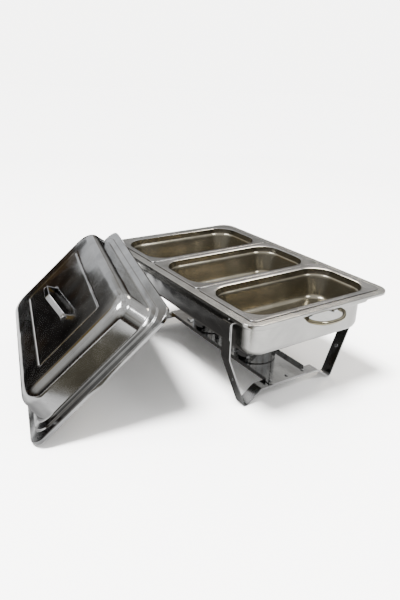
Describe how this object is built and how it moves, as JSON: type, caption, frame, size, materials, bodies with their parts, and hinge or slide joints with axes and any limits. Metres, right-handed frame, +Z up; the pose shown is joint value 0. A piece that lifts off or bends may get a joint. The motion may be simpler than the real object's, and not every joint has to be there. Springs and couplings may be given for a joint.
{
  "type": "fuel-heated chafing dish",
  "caption": "Rectangular buffet food warmer: strap stand with burner shelf, lift-out water pan, food pans side by side, gel-fuel burners with swing covers and a lid leaning on the pan.",
  "frame": {"origin": "on the floor under the middle of the bounding box of the whole object, lid included", "axes": "+Z up; X along the long side of the pan; -Y the front, where the lid leans; +X the end nearest the picture's camera"},
  "size_m": [0.6684, 0.6912, 0.2467],
  "materials": {
    "stand_steel": "bright mirror polish",
    "water_pan_steel": "satin",
    "food_pan_steel": "satin, deep drawn",
    "lid_steel": "bright polish",
    "handle_chrome": "mirror",
    "burner_chrome": "mirror",
    "cover_steel": "satin",
    "fastener_chrome": "mirror"
  },
  "bodies": {
    "stand": {"end_loop_right": "stand_steel", "end_loop_left": "stand_steel", "side_rail_front": "stand_steel", "side_rail_back": "stand_steel", "guide_peg_right_front": "fastener_chrome", "guide_peg_right_back": "fastener_chrome", "guide_peg_left_front": "fastener_chrome", "guide_peg_left_back": "fastener_chrome", "leg_rivet_right_front": "fastener_chrome", "leg_rivet_right_back": "fastener_chrome", "leg_rivet_left_front": "fastener_chrome", "leg_rivet_left_back": "fastener_chrome", "burner_shelf": "stand_steel", "shelf_screw_right_front": "fastener_chrome", "shelf_screw_right_middle": "fastener_chrome", "shelf_screw_right_back": "fastener_chrome", "shelf_screw_left_front": "fastener_chrome", "shelf_screw_left_middle": "fastener_chrome", "shelf_screw_left_back": "fastener_chrome", "shelf_nut_right_front": "fastener_chrome", "shelf_nut_right_middle": "fastener_chrome", "shelf_nut_right_back": "fastener_chrome", "shelf_nut_left_front": "fastener_chrome", "shelf_nut_left_middle": "fastener_chrome", "shelf_nut_left_back": "fastener_chrome"},
    "water_pan": {"water_pan": "water_pan_steel", "handle_bracket_right_front": "handle_chrome", "handle_bracket_right_back": "handle_chrome", "handle_bracket_left_front": "handle_chrome", "handle_bracket_left_back": "handle_chrome"},
    "food_pan_left": {"food_pan_left": "food_pan_steel"},
    "food_pan_middle": {"food_pan_middle": "food_pan_steel"},
    "food_pan_right": {"food_pan_right": "food_pan_steel"},
    "pan_handle_right": {"pan_handle_right": "handle_chrome"},
    "pan_handle_left": {"pan_handle_left": "handle_chrome"},
    "burner_right": {"burner_cup_right": "burner_chrome", "burner_tab_right": "burner_chrome", "cover_pin_right": "fastener_chrome"},
    "burner_left": {"burner_cup_left": "burner_chrome", "burner_tab_left": "burner_chrome", "cover_pin_left": "fastener_chrome"},
    "burner_cover_right": {"burner_cover_right": "cover_steel"},
    "burner_cover_left": {"burner_cover_left": "cover_steel"},
    "lid": {"lid_shell": "lid_steel", "lid_handle": "lid_steel", "lid_rivet_far": "fastener_chrome", "lid_rivet_near": "fastener_chrome"}
  },
  "joints": [
    {"name": "water_pan_lift", "type": "slide", "parent": "stand", "child": "water_pan", "axis": [0, 0, 1], "range_m": [0, 0.25]},
    {"name": "food_pan_left_lift", "type": "slide", "parent": "water_pan", "child": "food_pan_left", "axis": [0, 0, 1], "range_m": [0, 0.15]},
    {"name": "food_pan_middle_lift", "type": "slide", "parent": "water_pan", "child": "food_pan_middle", "axis": [0, 0, 1], "range_m": [0, 0.15]},
    {"name": "food_pan_right_lift", "type": "slide", "parent": "water_pan", "child": "food_pan_right", "axis": [0, 0, 1], "range_m": [0, 0.15]},
    {"name": "pan_handle_right_swing", "type": "hinge", "parent": "water_pan", "child": "pan_handle_right", "pos_m": [0.29465, 0.16662, 0.203], "axis": [0, -1, 0], "range_deg": [-60, 15]},
    {"name": "pan_handle_left_swing", "type": "hinge", "parent": "water_pan", "child": "pan_handle_left", "pos_m": [-0.23655, 0.16662, 0.203], "axis": [0, 1, 0], "range_deg": [-60, 15]},
    {"name": "burner_right_shift", "type": "slide", "parent": "stand", "child": "burner_right", "axis": [1, 0, 0], "range_m": [-0.03, 0.05]},
    {"name": "burner_left_shift", "type": "slide", "parent": "stand", "child": "burner_left", "axis": [-1, 0, 0], "range_m": [-0.03, 0.05]},
    {"name": "burner_cover_right_swing", "type": "hinge", "parent": "burner_right", "child": "burner_cover_right", "pos_m": [0.11405, 0.21752, 0.09275], "axis": [0, 0, 1], "range_deg": [0, 100]},
    {"name": "burner_cover_left_swing", "type": "hinge", "parent": "burner_left", "child": "burner_cover_left", "pos_m": [-0.05595, 0.21752, 0.09275], "axis": [0, 0, -1], "range_deg": [0, 100]},
    {"name": "lid_lift", "type": "slide", "parent": "water_pan", "child": "lid", "axis": [0, 0, 1], "range_m": [0, 0.25]}
  ]
}
